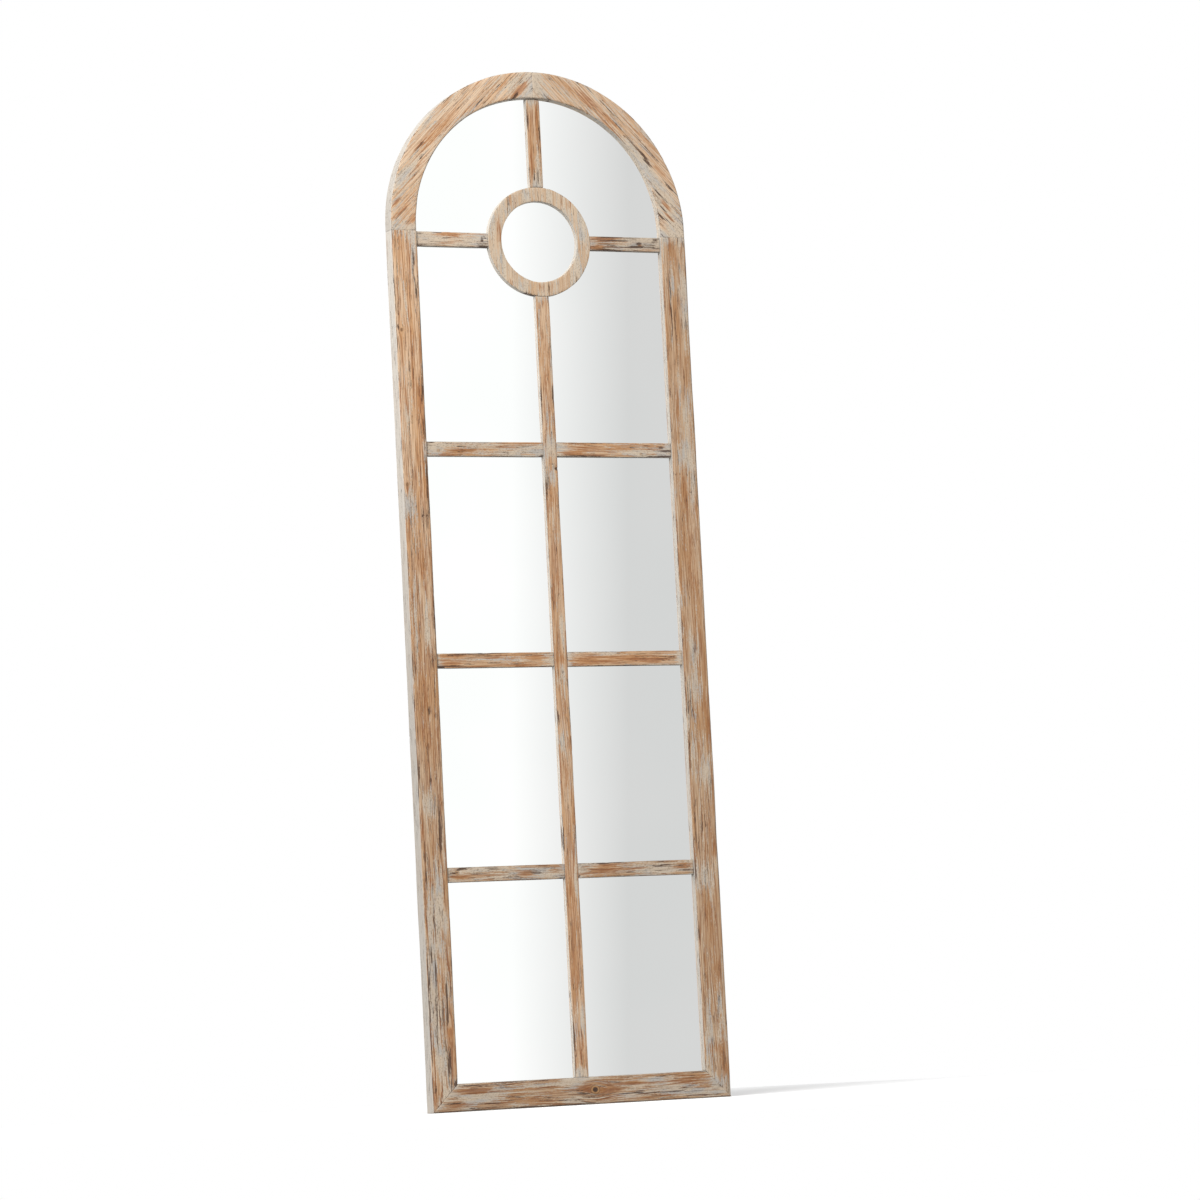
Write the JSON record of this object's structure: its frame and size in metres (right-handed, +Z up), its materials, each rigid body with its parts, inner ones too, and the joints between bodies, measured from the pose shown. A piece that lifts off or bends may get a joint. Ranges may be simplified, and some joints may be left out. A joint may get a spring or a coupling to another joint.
{
  "type": "full-length mirror",
  "caption": "Tall mirror with an arched, weathered wooden frame, window-pane glazing bars around a centre ring, and hanging rings that swing on its back.",
  "frame": {"origin": "middle of the bottom rail's underside, halfway through the frame's thickness", "axes": "+Z up the height, +Y out of the back towards the wall, -Y out of the glass towards the viewer, +X to the viewer's right"},
  "size_m": [0.556, 0.0365, 1.8],
  "materials": {
    "distressed_fir": "planed fir with a thin, worn pale grey wash",
    "mirror_glass": "polished, silvered on its back face",
    "foam": "thin white packing foam",
    "fibreboard": "bare brown fibreboard",
    "beech": "grooved beech dowel",
    "zinc_steel": "bright zinc plate",
    "black_rubber": "matt moulded rubber"
  },
  "bodies": {
    "frame": {"left_stile": "distressed_fir", "right_stile": "distressed_fir", "bottom_rail": "distressed_fir", "left_arch_segment": "distressed_fir", "right_arch_segment": "distressed_fir", "upper_vertical_bar": "distressed_fir", "lower_vertical_bar": "distressed_fir", "centre_ring": "distressed_fir", "left_ring_bar": "distressed_fir", "right_ring_bar": "distressed_fir", "upper_left_cross_bar": "distressed_fir", "upper_right_cross_bar": "distressed_fir", "middle_left_cross_bar": "distressed_fir", "middle_right_cross_bar": "distressed_fir", "lower_left_cross_bar": "distressed_fir", "lower_right_cross_bar": "distressed_fir", "mirror_glass": "mirror_glass", "foam_underlay": "foam", "backing_board": "fibreboard", "crown_dowels": "beech", "arch_seam_dowels": "beech", "corner_dowels": "beech", "bar_dowels": "beech", "backing_screws": "zinc_steel", "left_hanger_strap": "zinc_steel", "right_hanger_strap": "zinc_steel", "hanger_screws": "zinc_steel", "left_wall_bumper": "black_rubber", "right_wall_bumper": "black_rubber"},
    "left_ring": {"left_hanger_ring": "zinc_steel"},
    "right_ring": {"right_hanger_ring": "zinc_steel"}
  },
  "joints": [
    {"name": "left_ring_swing", "type": "hinge", "parent": "frame", "child": "left_ring", "pos_m": [-0.26425, 0.0181, 1.38], "axis": [1, 0, 0], "range_deg": [0, 180]},
    {"name": "right_ring_swing", "type": "hinge", "parent": "frame", "child": "right_ring", "pos_m": [0.26425, 0.0181, 1.38], "axis": [1, 0, 0], "range_deg": [0, 180]}
  ]
}
